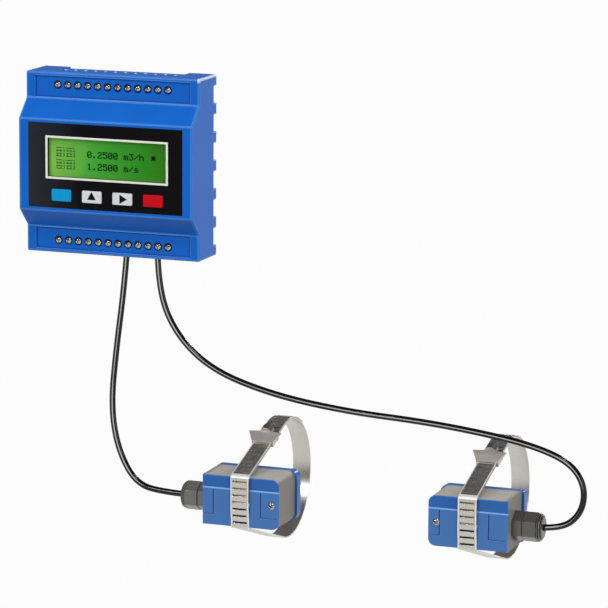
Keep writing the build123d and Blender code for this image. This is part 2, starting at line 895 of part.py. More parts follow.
def gland_nut():
    """Domed hexagonal nut that squeezes the seal."""
    start = gland_base_length + gland_gap
    end = gland_base_length + gland_nut_length
    bar = hexagon_x(start, end, gland_across)
    corner = gland_across / 2 / cos(radians(30))
    dome_points = [
        (start, 0),
        (start, corner + 0.01),
        (end - nut_dome, corner + 0.01),
        (end, corner - nut_dome),
        (end, 0),
    ]
    low, high, knee, tip, foot = dome_points
    outline = Polyline(foot, low, high, knee) + Spline(
        knee, (end - nut_dome * 0.3, corner - nut_dome * 0.3), tip) + Line(tip, foot)
    dome = revolve(make_face(outline), axis=Axis.X)
    pocket = rod_x(start - 1, gland_base_length + gland_neck_length + seal_length + 2 * gland_gap,
                   gland_neck_radius + gland_gap)
    bore = rod_x(start, end + 1, gland_bore_radius)
    nut = (bar & dome) - pocket - bore
    for i in range(nut_ring_count):
        ring_end = end - nut_ring_pitch * (i + 0.5)
        reach = corner - nut_dome * (1 - (end - ring_end) / nut_dome)
        ring = rod_x(ring_end - nut_ring_width, ring_end, corner + 1)
        nut -= ring - rod_x(ring_end - 1, ring_end + 1, reach - nut_ring_depth)
    return nut


def gland_seal():
    """Rubber seal round the cable, between neck and nut."""
    start = gland_base_length + gland_neck_length + gland_gap
    ring = rod_x(start, start + seal_length, seal_radius)
    return ring - rod_x(start - 1, start + seal_length + 1, cable_diameter / 2 + seal_bore_gap)


# Band clamp, drawn in the plane across the pipe: x is back, y is up, the pipe's
# axis is the origin, and the band's width runs along z.

bend_x = -pipe_radius - head_depth + band_corner
bend_y = head_height / 2 - band_corner
bend_reach = hypot(bend_x, bend_y)
run_angle = (180 - degrees(atan2(bend_y, -bend_x))
             - degrees(acos((pipe_radius - band_corner) / bend_reach)))


def run_point(center, radius):
    """Point on a bend's circle where the straight run leaves it."""
    return (center[0] + radius * cos(radians(run_angle)),
            center[1] + radius * sin(radians(run_angle)))


run_start = run_point((bend_x, bend_y), band_corner)
run_end = run_point((0, 0), pipe_radius)
run_length = hypot(run_end[0] - run_start[0], run_end[1] - run_start[1])
inner_mid = band_thick / 2
outer_mid = band_thick * 1.5 + band_layer_gap


def upper_bend(lift):
    """Arc over the transducer's upper edge, at a lift above the inner surface."""
    return CenterArc((bend_x, bend_y), band_corner + lift, run_angle, 180 - run_angle)


def upper_run(lift):
    """Straight run from the upper bend to the pipe."""
    return Line(run_point((bend_x, bend_y), band_corner + lift),
                run_point((0, 0), pipe_radius + lift))


def band_strip():
    """The whole strap, from its inner end round the pipe to its outer tail."""
    face_x = bend_x - band_corner
    low_y = -bend_y
    inner_x = face_x - inner_mid
    outer_x = face_x - outer_mid
    lower_center = (bend_x, low_y)
    lower_from = (lower_center[0] + (band_corner + inner_mid) * cos(radians(run_angle)),
                  lower_center[1] - (band_corner + inner_mid) * sin(radians(run_angle)))
    lower_to = ((pipe_radius + inner_mid) * cos(radians(run_angle)),
                -(pipe_radius + inner_mid) * sin(radians(run_angle)))
    pieces = [
        Line((inner_x, band_inner_start), (inner_x, bend_y)),
        upper_bend(inner_mid),
        upper_run(inner_mid),
        CenterArc((0, 0), pipe_radius + inner_mid, -run_angle, 2 * run_angle),
        Line(lower_to, lower_from),
        CenterArc(lower_center, band_corner + inner_mid, 180, 180 - run_angle),
        FilletPolyline((inner_x, low_y), (inner_x, band_jog_low), (outer_x, band_jog_high),
                       (outer_x, bend_y), radius=band_jog_round),
        upper_bend(outer_mid),
        upper_run(outer_mid),
        CenterArc((0, 0), pipe_radius + outer_mid, band_tail_angle,
                  run_angle - band_tail_angle),
    ]
    edges = [edge for piece in pieces for edge in piece.edges()]
    strip = trace(edges, line_width=band_thick)
    return extrude(strip, amount=band_width / 2, both=True)


def slot_tool(x, y, angle, reach_in, reach_out):
    """Slot cutter: angle is the strap's direction, in degrees."""
    tool = Pos(0, (reach_out - reach_in) / 2, 0) * Box(slot_height, reach_in + reach_out,
                                                       slot_width)
    return Pos(x, y, 0) * Rot(0, 0, angle) * tool


def band_slots():
    """Slots of the outer strap: front face, both runs and the tail."""
    tools = []
    face_x = bend_x - band_corner
    through = band_thick + band_layer_gap / 2
    for i in range(-slot_side_count, slot_side_count + 1):
        y = slot_first_height + i * slot_pitch
        tools.append(slot_tool(face_x - outer_mid, y, 90, through, 1))
        if y < band_inner_start - slot_pitch / 2:
            tools.append(slot_tool(face_x - inner_mid, y, 90, band_thick, 1))
    unit_x = (run_end[0] - run_start[0]) / run_length
    unit_y = (run_end[1] - run_start[1]) / run_length
    direction = degrees(atan2(unit_y, unit_x))
    run_slots = int((run_length - slot_run_start) / slot_pitch)
    for i in range(run_slots + 1):
        along = slot_run_start + i * slot_pitch
        x = run_start[0] + unit_x * along
        y = run_start[1] + unit_y * along
        x_out = x - unit_y * outer_mid
        y_out = y + unit_x * outer_mid
        tools.append(slot_tool(x_out, y_out, direction, through - inner_mid, 1))
        tools.append(slot_tool(x - unit_y * inner_mid, -y - unit_x * inner_mid,
                               180 - direction, 1, 1))
    step = degrees(slot_pitch / (pipe_radius + outer_mid))
    arc_slots = int((run_angle - band_tail_angle) / step)
    for i in range(1, arc_slots):
        angle = run_angle - i * step
        radius = pipe_radius + outer_mid
        tools.append(slot_tool(radius * cos(radians(angle)), radius * sin(radians(angle)),
                               angle - 90, through - inner_mid, 1))
    return tools


def band():
    """Perforated stainless strap in its tightened loop."""
    return cut_all(band_strip(), band_slots())


# Worm housing and screw, in the run's own frame: x across the strap, y along
# the run, z out from the inner strap's inner surface.

strap_top = 2 * band_thick + band_layer_gap
worm_axis = strap_top + worm_strap_gap + worm_radius
housing_half = band_width / 2 + housing_side_gap
deck_low = strap_top + 0.1
deck_high = deck_low + housing_wall
arch_start = housing_start + hood_length
arch_end = arch_start + arch_length


def rod_run(y0, y1, radius):
    """Round rod along the run, on the worm's axis."""
    return Pos(0, (y0 + y1) / 2, worm_axis) * Rot(90, 0, 0) * Cylinder(radius, abs(y1 - y0))


def hood():
    """Flared folded hood over the worm's near end: a ramp with two wings."""
    low = deck_high
    high = low + hood_rise
    half_low = housing_half + housing_wall
    half_top = hood_top_width / 2
    half_wing = hood_width / 2
    start = housing_start
    end = arch_start
    wing_low = high - hood_rise * hood_wing_fall

    def shell(drop):
        return {
            "a": (-half_low, start, low - drop),
            "b": (half_low, start, low - drop),
            "c": (half_top, end, high - drop),
            "d": (-half_top, end, high - drop),
            "e": (half_wing, end, wing_low - drop),
            "f": (-half_wing, end, wing_low - drop),
        }

    top = shell(0)
    bottom = shell(housing_wall)

    def plate(names):
        upper = [Vector(*top[name]) for name in names]
        lower = [Vector(*bottom[name]) for name in names]
        faces = [Face(Wire.make_polygon(upper, close=True)),
                 Face(Wire.make_polygon(lower, close=True))]
        count = len(names)
        for i in range(count):
            j = (i + 1) % count
            faces.append(Face(Wire.make_polygon([upper[i], upper[j], lower[j], lower[i]],
                                                close=True)))
        return Solid(Shell(faces))

    return plate("abcd") + plate("bec") + plate("adf")


def worm_housing():
    """Saddle that wraps both straps, with the hood and the worm's arch."""
    outer = housing_half + housing_wall
    base_end = housing_start + housing_base_length
    saddle = span(-outer, outer, housing_start, base_end, -housing_base_thick - fit_gap,
                  deck_high)
    saddle -= span(-housing_half, housing_half, housing_start - 1, base_end + 1,
                   -fit_gap, deck_low)
    deck = span(-outer, outer, housing_start, arch_end, deck_low, deck_high)
    arch = rod_run(arch_start, arch_end, worm_radius + worm_gap + housing_wall)
    arch += span(-worm_radius - worm_gap - housing_wall, worm_radius + worm_gap + housing_wall,
                 arch_start, arch_end, deck_low, worm_axis)
    below = span(-outer - 1, outer + 1, arch_start - 1, arch_end + 1, deck_low - 2 * worm_radius,
                 deck_low)
    body = saddle + deck + (arch - below) + hood()
    tunnel = rod_run(arch_start + worm_stop, arch_end + 1, worm_radius + worm_gap)
    half_window = worm_radius - worm_stop
    window = span(-half_window, half_window, arch_start + worm_stop,
                  arch_end - worm_window_edge, deck_low - 1, deck_high + worm_stop)
    return body - tunnel - window


def worm_screw():
    """Worm with a slotted hexagonal head."""
    start = arch_start + worm_stop + worm_gap
    end = arch_end - worm_end_gap
    body = rod_run(start, end, worm_root_radius)
    ring_pitch = (end - start) / worm_rings
    for i in range(worm_rings):
        ring_start = start + i * ring_pitch + ring_pitch * 0.25
        body += rod_run(ring_start, ring_start + ring_pitch * 0.5, worm_radius)
    head_start = arch_end + 1.5 * worm_end_gap
    body += rod_run(end - worm_end_gap, head_start + worm_end_gap, worm_root_radius)
    hexagon = RegularPolygon(worm_head_across / 2, 6, major_radius=False)
    plane = Plane(origin=(0, head_start, worm_axis), x_dir=(1, 0, 0), z_dir=(0, 1, 0))
    head = extrude(plane * hexagon, amount=worm_head_length)
    body += head
    head_end = head_start + worm_head_length
    return body - span(-worm_head_slot / 2, worm_head_slot / 2,
                       head_end - worm_head_slot_depth, head_end + 1,
                       worm_axis - worm_head_across, worm_axis + worm_head_across)


def cable(points):
    """Round cable along straight runs joined by the largest tangent arcs."""
    route = [Vector(*point) for point in points]
    radii = []
    for before, here, after in zip(route, route[1:], route[2:]):
        turn_angle = (here - before).get_angle(after - here)
        shorter = min((here - before).length, (after - here).length)
        radii.append(0.45 * shorter / tan(radians(turn_angle / 2)))
    path = FilletPolyline(*route, radius=radii)
    section = Plane(origin=route[0], z_dir=route[1] - route[0]) * Circle(cable_diameter / 2)
    tube = sweep(section, path=path)
    area = pi * cable_diameter ** 2 / 4
    print("cable length", round(path.length, 1), "volume check",
          round(tube.volume / (area * path.length), 4),
          "radii", [round(radius, 1) for radius in radii])
    return tube


# Cable routes: straight out of the terminal, then hanging to the gland

left_route = [
    (pole_x[6], -entry_depth, -37.6),
    (1.5, -9.4, -59.0),
    (-3.2, -10.3, -89.0),
    (-5.8, -11.3, -117.5),
    (-2.0, -12.4, -138.5),
    (8.5, -13.4, -154.5),
    (24.0, -14.0, -157.0),
    (38.4, -14.0, -157.0),
]
right_route = [
    (pole_x[9], -entry_depth, -37.6),
    (17.9, -9.2, -57.5),
    (26.0, -9.6, -79.0),
    (45.0, -10.2, -96.3),
    (77.0, -11.0, -108.0),
    (115.0, -11.8, -112.3),
    (152.0, -12.4, -112.4),
    (183.0, -13.0, -115.4),
    (206.4, -13.5, -120.6),
    (223.6, -13.8, -125.9),
    (230.9, -13.9, -136.1),
    (229.4, -14.0, -148.7),
    (219.8, -14.0, -157.0),
    (207.2, -14.0, -157.0),
]


def save_unit():
    """Write the display unit's nodes."""
    save("front_housing", front_housing())
    save("back_plate", back_plate())
    save("case_screws", *case_screws())
    save("rail_latch", rail_latch())
    save("latch_spring", latch_spring())
    save("faceplate", faceplate())
    save("display_frame", display_frame())
    save("display_window", display_window())
    save("lcd_panel", lcd_panel())
    save("display_board", display_board())
    save("display_board_screws", *display_board_screws())
    for name, x in zip(("key_blue", "key_up", "key_right", "key_red"), key_x):
        save(name, key_cap(x))
    save("key_switches", *key_switches())
    save("main_board", main_board())
    save("board_parts", *board_parts())
    save("board_header", board_header())
    for row, side in (("upper", 1), ("lower", -1)):
        save(f"terminal_block_{row}", terminal_block(side))
        save(f"terminal_cages_{row}", *terminal_cages(side))
        save(f"terminal_screws_{row}", *terminal_screws(side))


def save_transducer(tag, center_x, turn):
    """Write one transducer with its gland, band and drive."""
    seat = Pos(center_x, pipe_axis_y - pipe_radius, pipe_axis_z)
    save(f"front_plate_{tag}", seat * transducer_plate(turn))
    save(f"transducer_body_{tag}", seat * transducer_body(turn))
    save(f"rear_rim_{tag}", seat * transducer_rim(turn))
    save(f"acoustic_wedge_{tag}", seat * transducer_wedge(turn))
    save(f"piezo_disc_{tag}", seat * transducer_element(turn))
    save(f"damping_block_{tag}", seat * transducer_backing(turn))
    save(f"cover_screw_{tag}", seat * cover_screw(turn))
    outlet = seat * gland_place(turn)
    save(f"gland_body_{tag}", outlet * gland_body())
    save(f"gland_nut_{tag}", outlet * gland_nut())
    save(f"gland_seal_{tag}", outlet * gland_seal())
    across_pipe = Plane(origin=(center_x, pipe_axis_y, pipe_axis_z), x_dir=(0, 1, 0),
                        z_dir=(1, 0, 0)).location
    save(f"band_{tag}", across_pipe * band())
    normal_y = cos(radians(run_angle))
    normal_z = sin(radians(run_angle))
    on_run = Plane(origin=(center_x, pipe_axis_y + run_start[0], pipe_axis_z + run_start[1]),
                   x_dir=(1, 0, 0), z_dir=(0, normal_y, normal_z)).location
    save(f"worm_housing_{tag}", on_run * worm_housing())
    save(f"worm_screw_{tag}", on_run * worm_screw())
    worm_center = (on_run * Pos(0, 0, worm_axis)).position
    print("worm axis", tag, [round(v, 4) for v in worm_center],
          "direction", round(normal_z, 6), round(-normal_y, 6))


save_unit()
print("spring foot", round(spring_foot, 3))
save_transducer("left", left_transducer_x, 1)
save_transducer("right", left_transducer_x + transducer_spacing, -1)
save("cable_left", cable(left_route))
save("cable_right", cable(right_route))
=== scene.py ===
import math

import bmesh
import bpy
from mathutils import Matrix, Vector


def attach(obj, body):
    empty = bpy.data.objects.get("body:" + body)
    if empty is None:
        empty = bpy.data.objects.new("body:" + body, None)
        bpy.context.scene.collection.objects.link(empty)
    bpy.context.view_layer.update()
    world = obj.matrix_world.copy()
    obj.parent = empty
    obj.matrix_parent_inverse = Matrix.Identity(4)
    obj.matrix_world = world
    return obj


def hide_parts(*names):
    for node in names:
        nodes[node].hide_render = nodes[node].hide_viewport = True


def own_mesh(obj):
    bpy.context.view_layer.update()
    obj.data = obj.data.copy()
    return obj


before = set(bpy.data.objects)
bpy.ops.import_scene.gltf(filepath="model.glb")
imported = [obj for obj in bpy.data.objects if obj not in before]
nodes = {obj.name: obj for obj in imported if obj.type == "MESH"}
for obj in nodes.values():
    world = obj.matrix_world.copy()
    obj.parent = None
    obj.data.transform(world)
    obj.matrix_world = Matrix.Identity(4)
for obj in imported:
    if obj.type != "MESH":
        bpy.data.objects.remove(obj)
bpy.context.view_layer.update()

print("stage: frame loaded,", len(nodes), "nodes")

poles = 12                                   # terminals in a row
pitch = 0.00508
poleSpots = [(i - (poles - 1) / 2) * pitch for i in range(poles)]   # along X
bandMiddles = (0.0665, 0.1785)               # along X


def newObject(name, data):
    made = bpy.data.objects.new(name, data)
    bpy.context.scene.collection.objects.link(made)
    return made


# camera

cameraSetup = {
    "place": (0.66217, -1.57718, 0.25195),   # metres from the middle of the rail seat
    "azimuth": 19.991,                       # degrees to the right of the unit's front
    "elevation": 10.643,
    "roll": 0.383,
    "lens": 215.119,                         # mm
    "sensor": 36.0,
}


def makeCamera(setup):
    data = bpy.data.cameras.new("camera")
    data.lens = setup["lens"]
    data.sensor_width = setup["sensor"]
    camera = newObject("camera", data)
    turn = Matrix.Rotation(math.radians(setup["azimuth"]), 4, "Z")
    tilt = Matrix.Rotation(math.radians(90 - setup["elevation"]), 4, "X")
    roll = Matrix.Rotation(math.radians(setup["roll"]), 4, "Z")
    camera.matrix_world = Matrix.Translation(setup["place"]) @ turn @ tilt @ roll
    bpy.context.scene.camera = camera


makeCamera(cameraSetup)
print("stage: camera")


# shader helpers

mixSockets = {"mask": 0, "low": 6, "high": 7, "result": 2}   # of a Mix node set to colour
richDetail = 3.0                             # octaves of the coarser noises
roundSamples = 6
edgeSamples = 8
white = (1.0, 1.0, 1.0, 1.0)


def tint(red, green, blue):                  # screen colour, 0 to 255, as linear light
    light = [((c / 255 + 0.055) / 1.055) ** 2.4 if c > 10 else c / 255 / 12.92
             for c in (red, green, blue)]
    return (*light, 1.0)


def scaled(colour, share):                   # the same colour, darker or paler
    return (*[min(1.0, c * share) for c in colour[:3]], 1.0)


class Wire:                                  # a socket that can stand in a sum
    def __init__(self, finish, socket):
        self.finish = finish
        self.socket = socket

    def __add__(self, other):
        return self.finish.maths("ADD", self, other)

    def __sub__(self, other):
        return self.finish.maths("SUBTRACT", self, other)

    def __rsub__(self, other):
        return self.finish.maths("SUBTRACT", other, self)

    def __mul__(self, other):
        return self.finish.maths("MULTIPLY", self, other)

    def __truediv__(self, other):
        return self.finish.maths("DIVIDE", self, other)

    def __gt__(self, other):
        return self.finish.maths("GREATER_THAN", self, other)

    def __lt__(self, other):
        return self.finish.maths("LESS_THAN", self, other)

    def __abs__(self):
        return self.finish.maths("ABSOLUTE", self)

    __radd__ = __add__
    __rmul__ = __mul__


class Finish:                                # a material or world, and its nodes
    def __init__(self, name, owner=None):
        self.owner = owner or bpy.data.materials.new(name)
        self.owner.use_nodes = True
        self.tree = self.owner.node_tree
        self.tree.nodes.clear()
        self.place = None

    def node(self, kind, settings=None, values=None, output=0):
        made = self.tree.nodes.new(kind)
        settings = dict(settings or {})
        stops = settings.pop("stops", None)
        for key, value in settings.items():
            setattr(made, key, value)
        if stops:
            ramp = made.color_ramp
            while len(ramp.elements) < len(stops):
                ramp.elements.new(0.5)
            for element, (position, colour) in zip(ramp.elements, stops):
                element.position = position
                element.color = colour
        for key, value in (values or {}).items():
            if isinstance(value, Wire):
                self.tree.links.new(value.socket, made.inputs[key])
            else:
                made.inputs[key].default_value = value
        return Wire(self, made.outputs[output]) if made.outputs else made

    def maths(self, operation, *values):
        return self.node("ShaderNodeMath", {"operation": operation}, dict(enumerate(values)))

    def rays(self, *names):                  # 1 for a ray of that kind
        path = self.tree.nodes.new("ShaderNodeLightPath")
        return [Wire(self, path.outputs[name]) for name in names]

    def point(self):                         # object coordinates, in metres
        if self.place is None:
            self.place = self.node("ShaderNodeTexCoord", output="Object")
        return self.place

    def axis(self, name, vector=None):
        return self.node("ShaderNodeSeparateXYZ", {}, {0: vector or self.point()}, name)

    def dot(self, first, second):
        return self.node("ShaderNodeVectorMath", {"operation": "DOT_PRODUCT"},
                         {0: first, 1: second}, "Value")

    def noise(self, scale, detail=2.0, stretch=None):
        spot = self.point()
        if stretch:
            spot = self.node("ShaderNodeMapping", {}, {"Vector": spot, "Scale": stretch})
        return self.node("ShaderNodeTexNoise", {},
                         {"Vector": spot, "Scale": scale, "Detail": detail})

    def climb(self, value, start, end):      # 0 at the start, 1 at the end
        return self.node("ShaderNodeMapRange", {},
                         {"Value": value, "From Min": start, "From Max": end})

    def blend(self, mask, low, high):        # colours
        values = {mixSockets["mask"]: mask, mixSockets["low"]: low, mixSockets["high"]: high}
        return self.node("ShaderNodeMix", {"data_type": "RGBA"}, values, mixSockets["result"])

    def layer(self, mask, under, over):      # shaders
        return self.node("ShaderNodeMixShader", {}, {0: mask, 1: under, 2: over})

    def bump(self, height, look):
        values = {"Height": height, "Distance": look["depth"], "Strength": look["strength"]}
        if look.get("round"):
            values["Normal"] = self.node("ShaderNodeBevel", {"samples": roundSamples},
                                         {"Radius": look["round"]})
        return self.node("ShaderNodeBump", {}, values)

    def edges(self, reach):                  # 0 on flats, more on the edges
        rounded = self.node("ShaderNodeBevel", {"samples": edgeSamples}, {"Radius": reach})
        flat = self.node("ShaderNodeNewGeometry", output="True Normal")
        return self.maths("SQRT", self.maths("MAXIMUM", 1 - self.dot(rounded, flat), 0.0))

    def bandDistance(self):                  # along X, from the middle of the nearer band
        across = self.axis("X")
        return self.maths("MINIMUM", *[abs(across - middle) for middle in bandMiddles])

    def roughness(self, grain, look):
        return look["rough"] + (grain - 0.5) * look["roughSpread"]

    def shader(self, values):
        out = self.node("ShaderNodeBsdfPrincipled", {}, values)
        self.node("ShaderNodeOutputMaterial", {}, {"Surface": out})
        return self.owner

    def surface(self, colour, grain, look):  # a grained coat of that colour
        return self.shader({
            "Base Color": colour,
            "Metallic": look.get("metallic", 0.0),
            "Roughness": self.roughness(grain, look),
            "Specular IOR Level": look.get("gloss", 0.5),
            "Normal": self.bump(grain, look),
        })


plasticLook = {                              # used where a plastic's own look says nothing
    "mottleScale": 60, "grainScale": 2500, "mottleShare": 0.6, "shade": 0.12,
    "roughSpread": 0.12, "depth": 0.00002, "strength": 0.5,
}
metalLook = {
    "stainScale": 90, "brushShare": 0.55, "dark": 0.7, "metallic": 1.0,
    "roughSpread": 0.2, "depth": 0.00001, "strength": 0.4,
}


def plastic(name, changes):                  # moulded plastic, rubber and coated boards
    look = {**plasticLook, **changes}
    finish = Finish(name)
    mottle = finish.noise(look["mottleScale"], richDetail)
    grain = finish.noise(look["grainScale"])
    level = mottle * look["mottleShare"] + grain * (1 - look["mottleShare"])
    colour = finish.blend(level, scaled(look["colour"], 1 - look["shade"]),
                          scaled(look["colour"], 1 + look["shade"]))
    return finish.surface(colour, grain, look)


def metal(name, changes):                    # rolled or turned metal
    look = {**metalLook, **changes}
    finish = Finish(name)
    brushed = finish.noise(look["brushScale"], richDetail)
    stain = finish.noise(look["stainScale"])
    level = brushed * look["brushShare"] + stain * (1 - look["brushShare"])
    colour = finish.blend(level, scaled(look["colour"], look["dark"]), look["colour"])
    return finish.surface(colour, brushed, look)


# world, lights and floor

studio = {
    "floorHeight": -0.26,
    "floorHalf": 6.0,
    "floorPaint": (0.42, 0.42, 0.42, 1),
    "floorWhite": 0.965,                     # share of plain white in the floor as it is seen
    "softLight": 0.57,                       # what matt surfaces get from all around
    "mirrorStops": [                         # what gloss shows, from straight down to up
        (0.0, (0.8, 0.8, 0.8, 1)), (0.49, (0.8, 0.8, 0.8, 1)), (0.54, (0.3, 0.3, 0.31, 1)),
        (0.66, (0.19, 0.19, 0.2, 1)), (1.0, (0.18, 0.18, 0.19, 1))],
    "mirrorLeft": 0.75,                      # how much darker gloss is on the left
    "aim": (0.06, -0.01, -0.06),             # where all the lamps point
}
softboxes = {
    "keyBox": {"place": (-0.62, -1.5, 0.92), "size": (0.3, 0.26), "power": 10.2},
    "headBox": {"place": (0.78, -0.92, 1.35), "size": (0.34, 0.34), "power": 6.4},
    "sideBox": {"place": (1.7, -0.35, 0.25), "size": (0.7, 0.9), "power": 5.5},
    "backBox": {"place": (0.36, 1.5, 0.52), "size": (0.18, 0.10), "power": 3.6},
    "cableBox": {"place": (0.08, -0.8, -0.06), "size": (0.6, 0.6), "power": 20.0},
}


def makeWorld(setup):
    world = bpy.data.worlds.new("studioWorld")
    bpy.context.scene.world = world
    finish = Finish("studioWorld", world)
    camera, through, glossy = finish.rays("Is Camera Ray", "Is Transmission Ray",
                                          "Is Glossy Ray")
    direction = finish.node("ShaderNodeTexCoord", output="Generated")
    across, height = [finish.axis(name, direction) for name in "XZ"]
    level = finish.node("ShaderNodeValToRGB", {"stops": setup["mirrorStops"]},
                        {0: height * 0.5 + 0.5})
    fade = 1 - setup["mirrorLeft"] * finish.maths("MAXIMUM", 0 - across, 0.0)
    mirror = finish.node("ShaderNodeVectorMath", {"operation": "SCALE"},
                         {0: level, "Scale": fade})
    soft = (*[setup["softLight"]] * 3, 1.0)
    colour = finish.blend(glossy, soft, mirror)
    colour = finish.blend(finish.maths("MAXIMUM", camera, through), colour, white)
    background = finish.node("ShaderNodeBackground", {}, {"Color": colour})
    finish.node("ShaderNodeOutputWorld", {}, {"Surface": background})


def makeSoftbox(name, setup):
    data = bpy.data.lights.new(name, "AREA")
    data.shape = "RECTANGLE"
    data.size, data.size_y = setup["size"]
    data.energy = setup["power"]
    lamp = newObject(name, data)
    lamp.location = setup["place"]
    aim = Vector(studio["aim"]) - Vector(setup["place"])
    lamp.rotation_euler = aim.to_track_quat("-Z", "Y").to_euler()
    return lamp


def makeFloor(setup):
    mesh = bpy.data.meshes.new("floor")
    sheet = bmesh.new()
    bmesh.ops.create_grid(sheet, x_segments=2, y_segments=2, size=setup["floorHalf"])
    bmesh.ops.translate(sheet, verts=sheet.verts, vec=(0, 0, setup["floorHeight"]))
    sheet.to_mesh(mesh)
    sheet.free()
    finish = Finish("floorPale")
    camera, glossy, through = finish.rays("Is Camera Ray", "Is Glossy Ray",
                                          "Is Transmission Ray")
    direct = finish.maths("MAXIMUM", camera, finish.maths("MAXIMUM", glossy, through))
    paint = finish.node("ShaderNodeBsdfDiffuse", {}, {"Color": setup["floorPaint"]})
    glow = finish.node("ShaderNodeEmission", {}, {"Color": white})
    top = finish.layer(direct * setup["floorWhite"], paint, glow)
    below = finish.node("ShaderNodeNewGeometry", output="Backfacing")
    clear = finish.node("ShaderNodeBsdfTransparent")      # so views from below aren't hidden
    finish.node("ShaderNodeOutputMaterial", {}, {"Surface": finish.layer(below, top, clear)})
    mesh.materials.append(finish.owner)
    newObject("floor", mesh)


makeWorld(studio)
lamps = {boxName: makeSoftbox(boxName, boxSetup) for boxName, boxSetup in softboxes.items()}
makeFloor(studio)
bpy.context.scene.view_settings.view_transform = "Standard"
print("stage: studio")


# cables

cables = {
    "diameter": 0.003,
    "roundSteps": 5,                         # smoothness round the cable and along it
    "alongSteps": 16,
    "lengths": {"cable_left": 0.1492, "cable_right": 0.2976},
    "jacket": {"colour": tint(6, 6, 7), "rough": 0.1, "grainScale": 900,
               "depth": 0.0000003, "mottleScale": 150, "gloss": 0.3, "roughSpread": 0.04},
    "routes": {
        "cable_left": [
            (0.00254, -0.009, -0.0376),      # terminal
            (0.0009, -0.0094, -0.059),
            (-0.0029, -0.0103, -0.089),
            (-0.0054, -0.0113, -0.1175),
            (-0.0014, -0.0124, -0.1385),
            (0.0085, -0.0134, -0.1545),
            (0.024, -0.014, -0.157),
            (0.0384, -0.014, -0.157),        # gland
        ],
        "cable_right": [
            (0.01778, -0.009, -0.0376),      # terminal
            (0.0179, -0.0092, -0.0575),
            (0.026, -0.0096, -0.079),
            (0.045, -0.0102, -0.0961),
            (0.077, -0.011, -0.1058),
            (0.115, -0.0118, -0.1107),
            (0.152, -0.0124, -0.1123),
            (0.183, -0.013, -0.1154),
            (0.2064, -0.0135, -0.1192),
            (0.2236, -0.0138, -0.1254),
            (0.2309, -0.0139, -0.1361),
            (0.2294, -0.014, -0.1487),
            (0.2198, -0.014, -0.157),
            (0.2072, -0.014, -0.157),        # gland
        ],
    },
}


def makeCable(name, route, jacket):
    curve = bpy.data.curves.new(name + "_cord", "CURVE")
    curve.dimensions = "3D"
    curve.bevel_depth = cables["diameter"] / 2
    curve.bevel_resolution = cables["roundSteps"]
    curve.resolution_u = cables["alongSteps"]
    curve.use_fill_caps = True
    spline = curve.splines.new("NURBS")
    spline.points.add(len(route) - 1)
    for control, place in zip(spline.points, route):
        control.co = (*place, 1.0)
    spline.order_u = 3
    spline.use_endpoint_u = True
    curve.materials.append(jacket)
    cord = newObject(name + "_cord", curve)
    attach(cord, "meter")
    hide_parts(name)
    return cord


def lightCables(lamp, cords):                # this lamp only gives the cables their shine
    shiny = bpy.data.collections.new("shinyCords")
    for cord in cords:
        shiny.objects.link(cord)
    lamp.light_linking.receiver_collection = shiny
    lamp.visible_camera = False
    lamp.visible_diffuse = False


cableJacket = plastic("cableJacket", cables["jacket"])
lightCables(lamps["cableBox"], [makeCable(cableName, cableRoute, cableJacket)
                                for cableName, cableRoute in cables["routes"].items()])
print("stage: cables")


# finishes of the CAD pieces

keyLook = {"rough": 0.45, "round": 0.0001, "gloss": 0.15}
glandLook = {"rough": 0.26, "mottleScale": 400, "shade": 0.22, "round": 0.0003, "gloss": 0.9}
looks = {
    "boardGreen": {"colour": tint(20, 84, 50), "rough": 0.4},
    "partBlack": {"colour": tint(30, 30, 32), "rough": 0.45, "round": 0.0001},
    "keyBlue": {"colour": tint(4, 156, 220), **keyLook},
    "keyWhite": {"colour": tint(224, 225, 228), "rough": 0.5, "shade": 0.22,
                 "grainScale": 1600, "mottleScale": 1400, "round": 0.0001},
    "keyRed": {"colour": tint(206, 0, 24), **keyLook},
    "blockGrey": {"colour": tint(70, 74, 80), "rough": 0.5},
    "wedgeAmber": {"colour": tint(196, 150, 80), "rough": 0.25},
    "glandBlack": {"colour": tint(72, 70, 64), **glandLook},
    # painted light: a paler copy of the gland plastic
    "glandLit": {"colour": tint(100, 98, 90), **glandLook},
    "sealRubber": {"colour": tint(26, 26, 26), "rough": 0.7},
    "inkGreen": {"colour": tint(2, 34, 12), "rough": 0.5, "gloss": 0.1},
    "inkBlack": {"colour": tint(4, 4, 4), "rough": 0.6, "gloss": 0.1},
    # painted shade: the dark strips that stand for the screw slots
    "slotShade": {"colour": tint(34, 32, 28), "rough": 0.5},
    # painted highlight: the lips are much paler than the case
    "lipHighlight": {"colour": tint(160, 205, 250), "rough": 0.4},
}
metals = {
    "screwSteel": {"colour": tint(192, 187, 175), "rough": 0.2, "brushScale": 900,
                   "round": 0.0001},
    "elementSilver": {"colour": tint(220, 218, 212), "rough": 0.35, "brushScale": 500},
}

casePaint = {
    "colour": tint(13, 98, 197),
    "pale": tint(20, 107, 206),
    # painted highlight along the rounded edges
    "edge": tint(124, 184, 253),
    "grooveShade": tint(16, 82, 172),             # painted shade round the sunk terminal panels
    "edgeReach": 0.0009,
    "edgeHighlightGain": 4.2,
    "frontDepth": -0.0192,
    "panelHalf": 0.0394,
    "panelMiddle": 0.03615,
    "panelRise": 0.0051,
    "bayHalf": 0.0310,                       # the sunk bays keep plain edges
    "bayHeight": 0.0420,
    "bayFront": -0.0136,
    "sheetHalf": (0.0396, 0.0207),           # no bright line round the overlay sheet
    "sheetFront": -0.0290,
    "shine": tint(226, 238, 255),            # painted highlight on the edge at the top right
    "shineFrom": (0.0428, 0.0412),
    "shineGain": 3.0,
    "ring": tint(8, 22, 52),                 # painted shade round the terminal screws
    "ringRadius": 0.00195,
    "rowHeight": 0.037,
    "rowHalf": 0.0305,
    "grainScale": 2500, "mottleScale": 60, "rough": 0.3, "roughSpread": 0.1, "gloss": 0.12,
    "depth": 0.00001, "strength": 0.4, "round": 0.0003,
}


